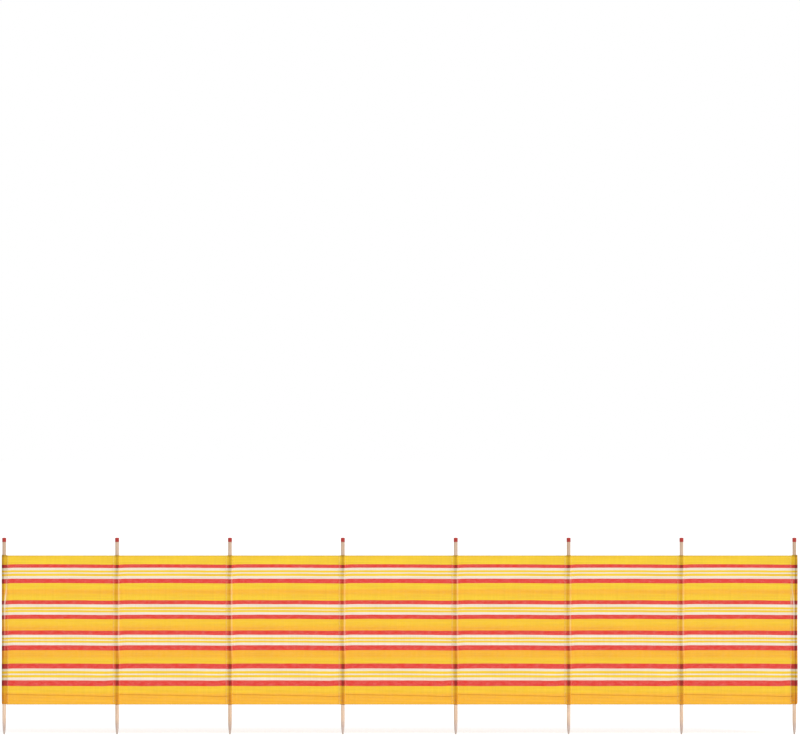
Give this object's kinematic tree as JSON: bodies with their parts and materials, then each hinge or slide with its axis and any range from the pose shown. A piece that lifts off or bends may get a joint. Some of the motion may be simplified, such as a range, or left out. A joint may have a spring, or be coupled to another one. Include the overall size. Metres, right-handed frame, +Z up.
{
  "type": "beach windbreak",
  "caption": "Long striped cloth screen held upright by pointed round wooden poles in sewn pockets, with plastic caps on top; each bay folds at its pole.",
  "frame": {"origin": "centre of the flat end of the first pole's point, at the left end", "axes": "+X along the cloth from the first pole to the last, +Y to the far side, +Z up the poles"},
  "size_m": [4.6448, 0.0248, 1.15],
  "materials": {
    "pole_wood": "satin",
    "cap_plastic": "gloss",
    "striped_cloth": "matte"
  },
  "bodies": {
    "bay_1": {"pole_1": "pole_wood", "cap_1": "cap_plastic", "pocket_1": "striped_cloth", "panel_1": "striped_cloth", "pole_2": "pole_wood", "cap_2": "cap_plastic", "pocket_2": "striped_cloth"},
    "bay_2": {"panel_2": "striped_cloth", "pole_3": "pole_wood", "cap_3": "cap_plastic", "pocket_3": "striped_cloth"},
    "bay_3": {"panel_3": "striped_cloth", "pole_4": "pole_wood", "cap_4": "cap_plastic", "pocket_4": "striped_cloth"},
    "bay_4": {"panel_4": "striped_cloth", "pole_5": "pole_wood", "cap_5": "cap_plastic", "pocket_5": "striped_cloth"},
    "bay_5": {"panel_5": "striped_cloth", "pole_6": "pole_wood", "cap_6": "cap_plastic", "pocket_6": "striped_cloth"},
    "bay_6": {"panel_6": "striped_cloth", "pole_7": "pole_wood", "cap_7": "cap_plastic", "pocket_7": "striped_cloth"},
    "bay_7": {"panel_7": "striped_cloth", "pole_8": "pole_wood", "cap_8": "cap_plastic", "pocket_8": "striped_cloth"}
  },
  "joints": [
    {"name": "fold_at_pole_2", "type": "hinge", "parent": "bay_1", "child": "bay_2", "pos_m": [0.66, 0, 0], "axis": [0, 0, 1], "range_deg": [-170, 170]},
    {"name": "fold_at_pole_3", "type": "hinge", "parent": "bay_2", "child": "bay_3", "pos_m": [1.32, 0, 0], "axis": [0, 0, -1], "range_deg": [-170, 170]},
    {"name": "fold_at_pole_4", "type": "hinge", "parent": "bay_3", "child": "bay_4", "pos_m": [1.98, 0, 0], "axis": [0, 0, 1], "range_deg": [-170, 170]},
    {"name": "fold_at_pole_5", "type": "hinge", "parent": "bay_4", "child": "bay_5", "pos_m": [2.64, 0, 0], "axis": [0, 0, -1], "range_deg": [-170, 170]},
    {"name": "fold_at_pole_6", "type": "hinge", "parent": "bay_5", "child": "bay_6", "pos_m": [3.3, 0, 0], "axis": [0, 0, 1], "range_deg": [-170, 170]},
    {"name": "fold_at_pole_7", "type": "hinge", "parent": "bay_6", "child": "bay_7", "pos_m": [3.96, 0, 0], "axis": [0, 0, -1], "range_deg": [-170, 170]}
  ]
}
